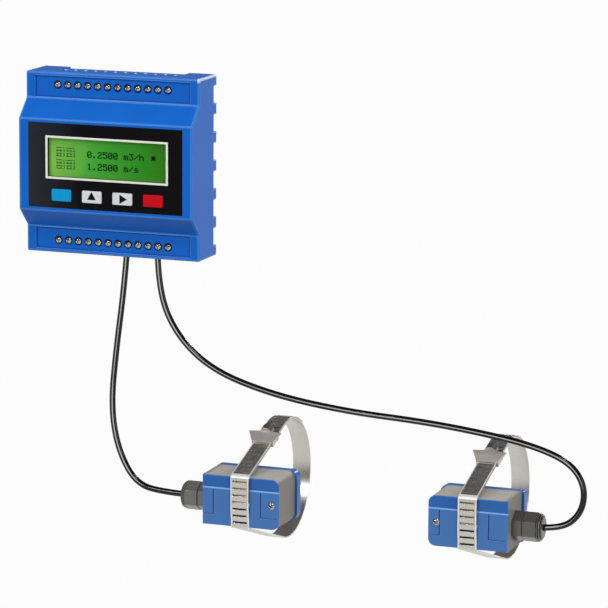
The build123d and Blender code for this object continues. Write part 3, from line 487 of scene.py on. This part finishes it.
def makeCaseBlue(look):
    finish = Finish("caseBlue")
    grain = finish.noise(look["grainScale"])
    mottle = finish.noise(look["mottleScale"], richDetail)
    across, depth, height = [finish.axis(name) for name in "XYZ"]
    pole = (finish.maths("FRACT", across / pitch) - 0.5) * pitch
    row = abs(height) - look["rowHeight"]
    away = finish.maths("SQRT", pole * pole + row * row)
    front = depth < look["frontDepth"]
    ring = (away < look["ringRadius"]) * (abs(across) < look["rowHalf"]) * front
    panel = ((abs(across) < look["panelHalf"]) * front
             * (abs(abs(height) - look["panelMiddle"]) < look["panelRise"]))
    bay = ((abs(across) < look["bayHalf"]) * (abs(height) > look["bayHeight"])
           * (depth > look["bayFront"]))
    sheet = ((abs(across) < look["sheetHalf"][0]) * (abs(height) < look["sheetHalf"][1])
             * (depth < look["sheetFront"]))
    shine = (across > look["shineFrom"][0]) * (height > look["shineFrom"][1])
    # painted highlight along the edges: none in the bays and round the sheet, stronger at the
    # top right
    edges = (finish.edges(look["edgeReach"]) * look["edgeHighlightGain"] * (1 - bay) * (1 - sheet)
             * (1 + shine * look["shineGain"]))
    # round the sunk panels the edges get painted shade instead of the highlight
    line = finish.blend(panel, look["edge"], look["grooveShade"])
    colour = finish.blend(mottle, look["colour"], look["pale"])
    colour = finish.blend(edges, colour, finish.blend(shine, line, look["shine"]))
    colour = finish.blend(ring, colour, look["ring"])
    return finish.surface(colour, grain, look)


headPaint = {                                # the transducer's blue covers
    # darker above the step and off the front plate: partly two-tone paint, partly painted
    # shade
    "upper": tint(26, 96, 174),
    "lower": tint(64, 118, 184),
    "mottle": tint(90, 130, 200),
    "mottleShare": 0.12,
    # painted highlight along the step across the front
    "line": tint(140, 190, 248),
    "lineShare": 0.9,
    "under": tint(10, 12, 20),               # in the shade of the band
    "underHeight": -0.1556,
    "bandHalf": 0.0041,
    "stepHeight": -0.1495,                   # the line across the front, along Z
    "lineWidth": 0.0006,
    # painted highlight along the edges of the covers
    "edge": tint(110, 160, 235),
    "edgeReach": 0.0006,
    "edgeHighlightGain": 1.2,
    "plateBack": -0.0240,                    # the front plate lies before this, along Y
    # painted shade in the grooves of the front plate
    "grooveShade": tint(34, 78, 156),
    "grooveFront": -0.02545,
    "grooveFoot": -0.1666,
    "grooveHalf": 0.0183,
    "grainScale": 2500, "mottleScale": 90, "rough": 0.32, "roughSpread": 0.12,
    "gloss": 0.35, "depth": 0.00001, "strength": 0.4, "round": 0.0003,
}


def makeHeadBlue(look):
    finish = Finish("headBlue")
    grain = finish.noise(look["grainScale"])
    mottle = finish.noise(look["mottleScale"], richDetail)
    depth, height = [finish.axis(name) for name in "YZ"]
    aside = finish.bandDistance()
    plate = depth < look["plateBack"]
    upper = finish.maths("MAXIMUM", height > look["stepHeight"], 1 - plate)
    near = (abs(height - look["stepHeight"]) < look["lineWidth"] / 2) * plate
    # painted shade in the grooves
    grooveShade = ((depth > look["grooveFront"]) * (height < look["stepHeight"])
              * (height > look["grooveFoot"]) * plate * (aside < look["grooveHalf"]))
    shade = (aside < look["bandHalf"]) * (height < look["underHeight"])
    colour = finish.blend(upper, look["lower"], look["upper"])
    colour = finish.blend(mottle * look["mottleShare"], colour, look["mottle"])
    # painted highlight along the edges
    colour = finish.blend(finish.edges(look["edgeReach"]) * look["edgeHighlightGain"], colour,
                          look["edge"])
    colour = finish.blend(grooveShade, colour, look["grooveShade"])
    # painted highlight along the step
    colour = finish.blend(near * look["lineShare"], colour, look["line"])
    colour = finish.blend(shade, colour, look["under"])
    return finish.surface(colour, grain, look)


bodyPaint = {
    "colour": tint(173, 167, 161),
    "pale": tint(188, 182, 176),
    "paleShare": 0.7,
    "end": tint(132, 127, 121),              # painted shade: the end faces are darker
    "endFrom": 0.0165,                       # from the band's middle
    "endAt": 0.0190,
    "grainScale": 2500, "mottleScale": 260, "rough": 0.55, "roughSpread": 0.12,
    "depth": 0.00002, "strength": 0.5, "round": 0.0002,
}


def makeHeadBeige(look):
    finish = Finish("headBeige")
    grain = finish.noise(look["grainScale"])
    mottle = finish.noise(look["mottleScale"], richDetail)
    end = finish.climb(finish.bandDistance(), look["endFrom"], look["endAt"])
    colour = finish.blend(mottle * look["paleShare"], look["colour"], look["pale"])
    return finish.surface(finish.blend(end, colour, look["end"]), grain, look)


overlayPaint = {                             # painted reflection: the sheet is greyer towards its left
    "dark": tint(5, 5, 8),
    "grey": tint(40, 44, 52),
    "greyFrom": -0.040,                      # along X
    "darkFrom": -0.012,
    "wander": 0.008,
    "grainScale": 3500, "mottleScale": 140, "rough": 0.4, "roughSpread": 0.15,
    "gloss": 0.08, "depth": 0.00001, "strength": 0.4,
}


def makeOverlayBlack(look):
    finish = Finish("overlayBlack")
    grain = finish.noise(look["grainScale"])
    mottle = finish.noise(look["mottleScale"], richDetail)
    share = finish.climb(finish.axis("X") + (mottle - 0.5) * look["wander"],
                         look["greyFrom"], look["darkFrom"])
    return finish.surface(finish.blend(share, look["grey"], look["dark"]), grain, look)


framePaint = {
    "face": tint(240, 244, 230),
    "worn": tint(180, 185, 170),
    "wornShare": 0.08,
    "recess": tint(10, 16, 8),
    "recessDepth": -0.0306,                  # behind this the frame is painted dark as shade, along Y
    "grainScale": 1800, "rough": 0.45, "roughSpread": 0.1,
    "depth": 0.00001, "strength": 0.4,
}


def makeFrameWhite(look):
    finish = Finish("frameWhite")
    grain = finish.noise(look["grainScale"])
    behind = finish.axis("Y") > look["recessDepth"]
    colour = finish.blend(grain * look["wornShare"], look["face"], look["worn"])
    return finish.surface(finish.blend(behind, colour, look["recess"]), grain, look)


lcdPaint = {
    "stops": [                               # from left to right
        (0.0, tint(136, 202, 84)), (0.36, tint(72, 172, 56)),
        (0.82, tint(44, 140, 30)), (1.0, tint(56, 126, 24))],
    "rim": tint(136, 202, 84),               # at the upper and the lower edge
    "rimPower": 4.0,
    "rimShare": 0.1,
    "centre": (0.0009, 0.0039),              # along X and Z
    "half": (0.0300, 0.0092),
    "cloudScale": 120,
    "cloudShare": 0.15,
    "rough": 0.4,
    "roughSpread": 0.05,
    "gloss": 0.1,
    "glow": 0.16,
}


def makeLcdGreen(look):
    finish = Finish("lcdGreen")
    across = (finish.axis("X") - look["centre"][0]) / look["half"][0]
    up = (finish.axis("Z") - look["centre"][1]) / look["half"][1]
    cloud = finish.noise(look["cloudScale"])
    rim = finish.maths("POWER", abs(up), look["rimPower"])
    level = across * 0.5 + 0.5 + (cloud - 0.5) * look["cloudShare"]
    colour = finish.node("ShaderNodeValToRGB", {"stops": look["stops"]}, {0: level})
    colour = finish.blend(rim * look["rimShare"], colour, look["rim"])
    return finish.shader({
        "Base Color": colour,
        "Roughness": look["rough"] + cloud * look["roughSpread"],
        "Specular IOR Level": look["gloss"],
        "Emission Color": colour,
        "Emission Strength": look["glow"],
    })


glassPaint = {
    "colour": (0.0, 0.02, 0.0, 1),
    "smearScale": 200,
    "rough": 0.08,
    "roughSpread": 0.06,
    "gloss": 0.2,
    "alpha": 0.04,
    "alphaSpread": 0.02,
}


def makeWindowGlass(look):
    finish = Finish("windowGlass")
    smear = finish.noise(look["smearScale"])
    return finish.shader({
        "Base Color": look["colour"],
        "Roughness": look["rough"] + smear * look["roughSpread"],
        "Specular IOR Level": look["gloss"],
        "Alpha": look["alpha"] + smear * look["alphaSpread"],
    })


bandPaint = {
    "steel": tint(212, 209, 203),
    "worn": tint(188, 184, 177),
    "rim": tint(250, 249, 246),              # painted highlight on the side edges
    "rimRough": 0.15,
    "rimMetal": 0.6,                         # how much less metallic they are
    "under": tint(150, 134, 108),            # painted shade on the inner strap, seen in the slots
    # painted shade on the walls of the slots
    "slot": tint(70, 63, 52),
    "rimFrom": 0.00405,                      # from the band's middle
    "straps": -0.0255,
    "front": -0.0268,
    "back": -0.0262,
    "frontTop": -0.1437,                     # the outer strap lies on the inner one
    "frontFoot": -0.1555,                    # down to here
    "runEnd": 0.012,
    "runNormal": (0.0, -0.310832, 0.950465),
    "runLevel": -0.12735,                    # just under the straight run's outer face
    # painted shade in the slots of the straight run
    "runSlotShade": tint(186, 182, 174),
    "foldBack": -0.0246,                     # the fold over the top edge, which gets the painted highlight too
    "brushScale": 700, "stretch": (4, 0.4, 0.4), "stainScale": 90, "brushShare": 0.55,
    "rough": 0.3, "roughSpread": 0.2, "depth": 0.00001, "strength": 0.4, "round": 0.00018,
}


def makeBandSteel(look):
    finish = Finish("bandSteel")
    brushed = finish.noise(look["brushScale"], richDetail, look["stretch"])
    stain = finish.noise(look["stainScale"])
    depth, height = [finish.axis(name) for name in "YZ"]
    front = ((height < look["frontTop"]) * (height > look["frontFoot"])
             * (depth < look["straps"]))
    fold = (height > look["frontTop"]) * (depth < look["foldBack"])
    sunk = ((finish.dot(finish.point(), look["runNormal"]) < look["runLevel"])
            * (height > look["frontTop"]) * (depth > look["foldBack"])
            * (depth < look["runEnd"]))
    # painted highlight on the side edges and on the fold
    rim = finish.maths("MAXIMUM", fold, (finish.bandDistance() > look["rimFrom"])
                       * (depth < look["runEnd"]))
    level = brushed * look["brushShare"] + stain * (1 - look["brushShare"])
    colour = finish.blend(level, look["worn"], look["steel"])
    colour = finish.blend(rim, colour, look["rim"])
    # painted shade in the slots of the front straps
    colour = finish.blend(front * (depth > look["front"]), colour, look["slot"])
    colour = finish.blend(front * (depth > look["back"]), colour, look["under"])
    colour = finish.blend(sunk, colour, look["runSlotShade"])
    return finish.shader({
        "Base Color": colour,
        "Metallic": 1 - rim * look["rimMetal"],
        "Roughness": finish.roughness(brushed, look) + rim * look["rimRough"],
        "Normal": finish.bump(brushed, look),
    })


hoodPaint = {
    "hood": tint(222, 215, 206),
    "metallic": 0.7,
    "arch": tint(150, 146, 139),             # painted shade: the arch over the worm is darker
    "archMetal": 0.3,                        # how much more metallic it is
    "archRough": 0.1,
    "runDirection": (0.0, 0.950465, 0.310832),
    "archFrom": -0.0328,                     # along the run
    "stain": tint(150, 140, 128),
    "stainShare": 0.3,
    "brushScale": 600, "stainScale": 120, "rough": 0.42, "roughSpread": 0.2,
    "depth": 0.00001, "strength": 0.4, "round": 0.00012,
}


def makeHoodSteel(look):
    finish = Finish("hoodSteel")
    brushed = finish.noise(look["brushScale"], richDetail)
    stain = finish.noise(look["stainScale"])
    arch = finish.dot(finish.point(), look["runDirection"]) > look["archFrom"]
    # painted shade on the arch
    colour = finish.blend(arch, look["hood"], look["arch"])
    return finish.shader({
        "Base Color": finish.blend(stain * look["stainShare"], colour, look["stain"]),
        "Metallic": look["metallic"] + arch * look["archMetal"],
        "Roughness": finish.roughness(brushed, look) - arch * look["archRough"],
        "Normal": finish.bump(brushed, look),
    })


finishes = {
    **{name: plastic(name, look) for name, look in looks.items()},
    **{name: metal(name, look) for name, look in metals.items()},
    "caseBlue": makeCaseBlue(casePaint),
    "headBlue": makeHeadBlue(headPaint),
    "headBeige": makeHeadBeige(bodyPaint),
    "overlayBlack": makeOverlayBlack(overlayPaint),
    "frameWhite": makeFrameWhite(framePaint),
    "lcdGreen": makeLcdGreen(lcdPaint),
    "windowGlass": makeWindowGlass(glassPaint),
    "bandSteel": makeBandSteel(bandPaint),
    "hoodSteel": makeHoodSteel(hoodPaint),
}

dress = {
    "caseBlue": ["front_housing", "back_plate"],
    "overlayBlack": ["faceplate"],
    "frameWhite": ["display_frame"],
    "windowGlass": ["display_window"],
    "lcdGreen": ["lcd_panel"],
    "boardGreen": ["display_board", "main_board"],
    "partBlack": ["rail_latch", "key_switches", "board_parts", "board_header"],
    "keyBlue": ["key_blue"],
    "keyWhite": ["key_up", "key_right"],
    "keyRed": ["key_red"],
    "blockGrey": ["terminal_block_upper", "terminal_block_lower"],
    "screwSteel": ["case_screws", "latch_spring", "display_board_screws",
                   "terminal_cages_upper", "terminal_cages_lower",
                   "terminal_screws_upper", "terminal_screws_lower"],
}
sideDress = {                                # pieces that are there left and right
    "screwSteel": ["cover_screw", "worm_screw"],
    "partBlack": ["damping_block"],
    "headBlue": ["front_plate", "rear_rim"],
    "headBeige": ["transducer_body"],
    "wedgeAmber": ["acoustic_wedge"],
    "elementSilver": ["piezo_disc"],
    "sealRubber": ["gland_seal"],
    "bandSteel": ["band"],
    "hoodSteel": ["worm_housing"],
}
glandPaints = {"left": "glandLit", "right": "glandBlack"}  # the left one is painted paler, as painted light: it catches more light


def dressNode(name, finishName):
    mesh = nodes[name].data
    mesh.materials.clear()
    mesh.materials.append(finishes[finishName])


for finishName, nodeNames in dress.items():
    for nodeName in nodeNames:
        dressNode(nodeName, finishName)
for side, glandPaint in glandPaints.items():
    for finishName, stems in sideDress.items():
        for stem in stems:
            dressNode(f"{stem}_{side}", finishName)
    dressNode(f"gland_body_{side}", glandPaint)
    dressNode(f"gland_nut_{side}", glandPaint)
print("stage: finishes")


# new pieces

sharpAngle = math.radians(35)                # edges over this stay sharp on a smooth piece


def addPiece(name, shape, finish, body, smooth=True):
    mesh = bpy.data.meshes.new(name)
    shape.to_mesh(mesh)
    shape.free()
    mesh.materials.append(finishes[finish])
    if smooth:
        for polygon in mesh.polygons:
            polygon.use_smooth = True
        mesh.set_sharp_from_angle(angle=sharpAngle)
    piece = newObject(name, mesh)
    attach(piece, body)
    return piece


def addBlock(shape, centre, size):
    bmesh.ops.create_cube(shape, size=1.0, matrix=Matrix.Translation(centre)
                          @ Matrix.Diagonal((*size, 1)))


# domed screws, slotted on the terminals and crossed on the transducers, the slots as strips
# of painted shade

slotStep = 37                                # degrees from one screw's slot to the next
slotLimit = 30                               # either way
domes = {
    "terminal": {"head": 0.00148, "rise": 0.00075, "skirt": 0.0012, "shank": 0.0010,
                 "length": 0.0078, "segments": 20, "slot": 0.0004, "arms": (0,),
                 "turns": [i * slotStep % (2 * slotLimit) - slotLimit
                           for i in range(poles)]},
    "cover": {"head": 0.00165, "rise": 0.0008, "skirt": 0.0, "shank": 0.0011,
              "length": 0.0070, "segments": 24, "slot": 0.0005, "arms": (0, 90),
              "turns": [20]},
}
domeParts = {
    "headSteps": 5,                          # from the middle of a head to its rim
    "rim": 0.0001,
    "slotSteps": 6,
    "slotReach": 0.62,                       # share of the head that a slot runs over
    "slotLift": 0.00002,                     # a slot is a strip of painted shade, just over the head
    "weld": 0.000001,
}
screwPlaces = {                              # front along Y, height along Z, spots along X
    "terminal_screws_upper": {"kind": "terminal", "front": -0.02125, "height": 0.037,
                              "spots": poleSpots},
    "terminal_screws_lower": {"kind": "terminal", "front": -0.02125, "height": -0.037,
                              "spots": poleSpots},
    "cover_screw_left": {"kind": "cover", "front": -0.0255, "height": -0.1561,
                         "spots": [0.0819]},
    "cover_screw_right": {"kind": "cover", "front": -0.0255, "height": -0.1561,
                          "spots": [0.1631]},
}


def domeRadius(dome):                        # radius of the ball the head is cut from
    return (dome["head"] ** 2 + dome["rise"] ** 2) / (2 * dome["rise"])


def addDome(shape, dome, x, front, z):
    ball = domeRadius(dome)
    centre = front - dome["rise"] + ball
    foot = front + dome["skirt"] + domeParts["rim"]
    outline = [(0.0, front - dome["rise"])]
    for step in range(1, domeParts["headSteps"] + 1):
        angle = math.asin(dome["head"] / ball) * step / domeParts["headSteps"]
        outline.append((ball * math.sin(angle), centre - ball * math.cos(angle)))
    outline += [(dome["head"], foot), (dome["shank"], foot),
                (dome["shank"], front + dome["length"]), (0.0, front + dome["length"])]
    points = [shape.verts.new((x + radius, y, z)) for radius, y in outline]
    edges = [shape.edges.new(pair) for pair in zip(points, points[1:])]
    bmesh.ops.spin(shape, geom=points + edges, cent=(x, 0, z), axis=(0, 1, 0),
                   angle=math.radians(360), steps=dome["segments"], use_merge=True)


def addSlot(shape, dome, x, front, z, turn):
    ball = domeRadius(dome) + domeParts["slotLift"]
    centre = Vector((x, front - dome["rise"] + domeRadius(dome), z))
    reach = math.asin(dome["head"] / ball) * domeParts["slotReach"]
    twist = Matrix.Rotation(math.radians(turn), 3, "Y")
    half = dome["slot"] / 2
    ends = [Vector((side, -ball * math.cos(reach), -ball * math.sin(reach)))
            for side in (-half, half)]
    start = [shape.verts.new(centre + twist @ end) for end in ends]
    edge = shape.edges.new(start)
    bmesh.ops.spin(shape, geom=start + [edge], cent=centre, axis=twist @ Vector((1, 0, 0)),
                   angle=-2 * reach, steps=domeParts["slotSteps"], use_merge=False)


def makeScrews(name, place):
    dome = domes[place["kind"]]
    shape = bmesh.new()
    slots = bmesh.new()
    for x, turn in zip(place["spots"], dome["turns"]):
        addDome(shape, dome, x, place["front"], place["height"])
        for arm in dome["arms"]:
            addSlot(slots, dome, x, place["front"], place["height"], turn + arm)
    bmesh.ops.remove_doubles(shape, verts=shape.verts, dist=domeParts["weld"])
    bmesh.ops.recalc_face_normals(shape, faces=shape.faces)
    screws = addPiece(name + "_domed", shape, "screwSteel", "meter")
    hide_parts(name)
    addPiece(name + "_slots", slots, "slotShade", "meter", False)


for screwName, screwPlace in screwPlaces.items():
    makeScrews(screwName, screwPlace)


# latch spring, a copy of the CAD coil with a mesh of its own


def makeSpring():
    shape = bmesh.new()
    shape.from_mesh(nodes["latch_spring"].data)
    coil = addPiece("latch_spring_coil", shape, "screwSteel", "meter")
    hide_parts("latch_spring")
    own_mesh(coil)


makeSpring()


# lips of the wire entries, in the sunk bays above and below the terminals, painted pale as
# highlights

lips = {
    "size": (0.0012, 0.0012, 0.0011),
    "depth": -0.0112,                        # along Y
    "height": 0.0427,
    "round": 0.0002,
}


def makeLips(name, side):
    shape = bmesh.new()
    for x in poleSpots:
        addBlock(shape, (x, lips["depth"], side * lips["height"]), lips["size"])
    bmesh.ops.bevel(shape, geom=list(shape.edges), offset=lips["round"], affect="EDGES",
                    segments=2, profile=0.5, material=-1)
    addPiece(name, shape, "lipHighlight", "meter")


makeLips("entry_lips_upper", 1)
makeLips("entry_lips_lower", -1)
print("stage: screws and entries")


# display characters

readout = {
    "dot": 0.00056,
    "fineDot": 0.00036,                      # of the patches
    "dotPitch": 0.00044,
    "letterDots": 6,                         # from one letter to the next
    "thick": 0.00004,
    "plane": -0.02842,                       # along Y, just in front of the display module
    "words": [                               # along X and Z, then what is shown
        (-0.0096, 0.0071, "0.2500"), (-0.0096, 0.0014, "1.2500"),
        (0.0089, 0.0071, "m3/h"), (0.0089, 0.0014, "m/s"), (0.0228, 0.0071, "*")],
    "patches": [(-0.0255, 0.0083), (-0.0203, 0.0083), (-0.0255, 0.0025), (-0.0203, 0.0025)],
}
glyphs = {
    "0": ("01110", "10001", "10011", "10101", "11001", "10001", "01110"),
    "1": ("00100", "01100", "00100", "00100", "00100", "00100", "01110"),
    "2": ("01110", "10001", "00001", "00110", "01000", "10000", "11111"),
    "3": ("11111", "00010", "00100", "00010", "00001", "10001", "01110"),
    "5": ("11111", "10000", "11110", "00001", "00001", "10001", "01110"),
    "m": ("00000", "00000", "11010", "10101", "10101", "10101", "10101"),
    "h": ("10000", "10000", "10110", "11001", "10001", "10001", "10001"),
    "s": ("00000", "00000", "01110", "10000", "01110", "00001", "11110"),
    "/": ("00000", "00001", "00010", "00100", "01000", "10000", "00000"),
    ".": ("00000", "00000", "00000", "00000", "00000", "01100", "01100"),
    "*": ("00000", "10101", "01110", "11111", "01110", "10101", "00000"),
}
patch = (                                    # a plain filler, left in place of words
    "1111111011", "0000000000", "0100010001", "1111111011", "0100010001",
    "0000000000", "1111111011", "0100010001", "0100010001", "1111111011")


def addGlyph(shape, rows, x, z, dot):
    step = readout["dotPitch"]
    for row, bits in enumerate(rows):
        for column, bit in enumerate(bits):
            if bit == "1":
                addBlock(shape, (x + column * step, readout["plane"], z - row * step),
                         (dot, readout["thick"], dot))


def makeReadout():
    shape = bmesh.new()
    for x, z, word in readout["words"]:
        for i, letter in enumerate(word):
            start = x + i * readout["letterDots"] * readout["dotPitch"]
            addGlyph(shape, glyphs[letter], start, z, readout["dot"])
    for x, z in readout["patches"]:
        addGlyph(shape, patch, x, z, readout["fineDot"])
    addPiece("display_characters", shape, "inkGreen", "meter", False)


makeReadout()


# arrows printed on two keys

arrows = {
    "radius": 0.00253,                       # from the middle to a corner
    "thick": 0.00006,
    "front": -0.0312,                        # the key's front face, along Y
    "height": -0.0139,
    "keys": {"key_up": {"x": -0.00655, "turn": 0.0},
             "key_right": {"x": 0.00895, "turn": 90.0}},
}


def makeArrow(name, spot):
    shape = bmesh.new()
    place = Matrix.Translation((spot["x"], arrows["front"] + arrows["thick"] / 2,
                                arrows["height"]))
    turn = Matrix.Rotation(math.radians(spot["turn"]), 4, "Y")
    upright = Matrix.Rotation(math.radians(90), 4, "X")
    bmesh.ops.create_circle(shape, cap_ends=True, segments=3, radius=arrows["radius"],
                            matrix=place @ turn @ upright)
    made = bmesh.ops.extrude_face_region(shape, geom=shape.faces)
    raised = [part for part in made["geom"] if isinstance(part, bmesh.types.BMVert)]
    bmesh.ops.translate(shape, verts=raised, vec=(0, -arrows["thick"], 0))
    bmesh.ops.recalc_face_normals(shape, faces=shape.faces)
    addPiece(name + "_arrow", shape, "inkBlack", name, False)


for keyName, keySpot in arrows["keys"].items():
    makeArrow(keyName, keySpot)
print("stage: display and keys")
